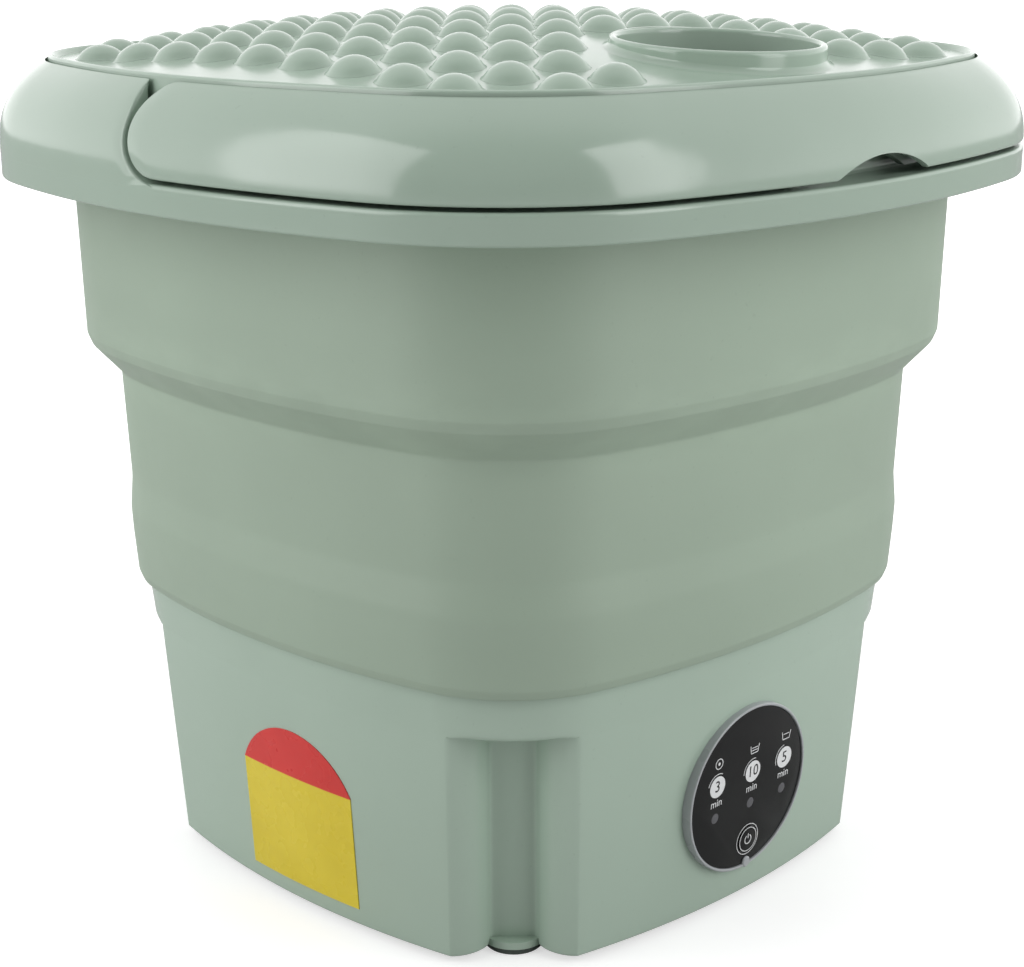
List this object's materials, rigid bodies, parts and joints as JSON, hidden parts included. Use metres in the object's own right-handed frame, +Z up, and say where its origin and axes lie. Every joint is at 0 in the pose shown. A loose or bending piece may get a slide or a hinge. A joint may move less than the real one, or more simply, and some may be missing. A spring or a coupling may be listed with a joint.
{
  "type": "foldable washing machine",
  "caption": "Bucket-shaped washing machine with a stepped soft wall that folds, a bumped lid with an open port, a swing-over carry handle and an impeller in its rigid base.",
  "frame": {"origin": "centre of the footprint on the ground, under the four feet", "axes": "+Z up, the control panel faces -Y, the bare label is on -X and the drain and inlet are on +Y"},
  "size_m": [0.3, 0.3, 0.2874],
  "materials": {
    "sage_plastic": "glossy",
    "tub_plastic": "satin",
    "under_plastic": "matte",
    "dark_rubber": "matte",
    "zinc_screw": "satin",
    "soft_wall": "satin",
    "pin_plastic": "satin",
    "lid_plastic": "glossy",
    "cast_bracket": "cast",
    "motor_steel": "brushed",
    "shaft_steel": "ground",
    "pulley_plastic": "matte",
    "impeller_plastic": "glossy",
    "bezel_grey": "satin",
    "panel_black": "satin",
    "lamp_window": "clear",
    "board_green": "matte",
    "switch_black": "matte",
    "soft_plug": "matte",
    "label_vinyl": "printed"
  },
  "bodies": {
    "base": {"base_shell": "sage_plastic", "tub_floor": "tub_plastic", "drain_strainer": "tub_plastic", "bottom_cover": "under_plastic", "rubber_feet": "dark_rubber", "cover_screws": "zinc_screw", "bellows_cuff": "soft_wall", "bellows_fold_wall": "soft_wall", "drive_bracket": "cast_bracket", "bracket_screws": "zinc_screw", "motor": "motor_steel", "motor_screws": "zinc_screw", "drive_belt": "dark_rubber", "shaft_bearings": "shaft_steel", "shaft_seal": "dark_rubber", "panel_bezel": "bezel_grey", "panel_overlay": "panel_black", "lamp_windows": "lamp_window", "control_board": "board_green", "board_screws": "zinc_screw", "tact_switch": "switch_black", "indicator_lamps": "lamp_window", "drain_spout": "tub_plastic", "inlet_socket": "switch_black", "label_sticker": "label_vinyl"},
    "rim": {"bellows_upper_wall": "soft_wall", "top_rim": "sage_plastic", "clamp_ring": "sage_plastic", "clamp_screws": "zinc_screw", "handle_pivot_pins": "pin_plastic"},
    "handle": {"carry_handle": "sage_plastic"},
    "lid": {"lid": "lid_plastic"},
    "impeller": {"impeller": "impeller_plastic", "impeller_screw": "shaft_steel", "impeller_cap": "impeller_plastic", "drive_shaft": "shaft_steel", "drive_pulley": "pulley_plastic", "pulley_nut": "zinc_screw"},
    "motor_rotor": {"motor_shaft": "shaft_steel", "motor_pulley": "pulley_plastic"},
    "start_button": {"start_button": "panel_black"},
    "drain_plug": {"drain_plug": "soft_plug"}
  },
  "joints": [
    {"name": "tub_fold", "type": "slide", "parent": "base", "child": "rim", "axis": [0, 0, -1], "range_m": [0, 0.115], "deforming": ["bellows_fold_wall"]},
    {"name": "handle_swing", "type": "hinge", "parent": "rim", "child": "handle", "pos_m": [0, -0.006, 0.258], "axis": [1, 0, 0], "range_deg": [-95, 0]},
    {"name": "lid_lift", "type": "slide", "parent": "rim", "child": "lid", "axis": [0, 0, 1], "range_m": [0, 0.06]},
    {"name": "impeller_spin", "type": "hinge", "parent": "base", "child": "impeller", "pos_m": [0, 0, 0.0136], "axis": [0, 0, 1], "continuous": true},
    {"name": "motor_spin", "type": "hinge", "parent": "base", "child": "motor_rotor", "pos_m": [0.062, 0, 0.0136], "axis": [0, 0, 1], "continuous": true},
    {"name": "button_press", "type": "slide", "parent": "base", "child": "start_button", "axis": [0, 0.9982, 0.0596], "range_m": [0, 0.0004], "stiffness_N_per_m": 500},
    {"name": "plug_pull", "type": "slide", "parent": "base", "child": "drain_plug", "axis": [0, 1, 0], "range_m": [0, 0.03]}
  ],
  "couplings": [
    {"joint": "motor_spin", "follows": "impeller_spin", "ratio": 5.3636}
  ]
}
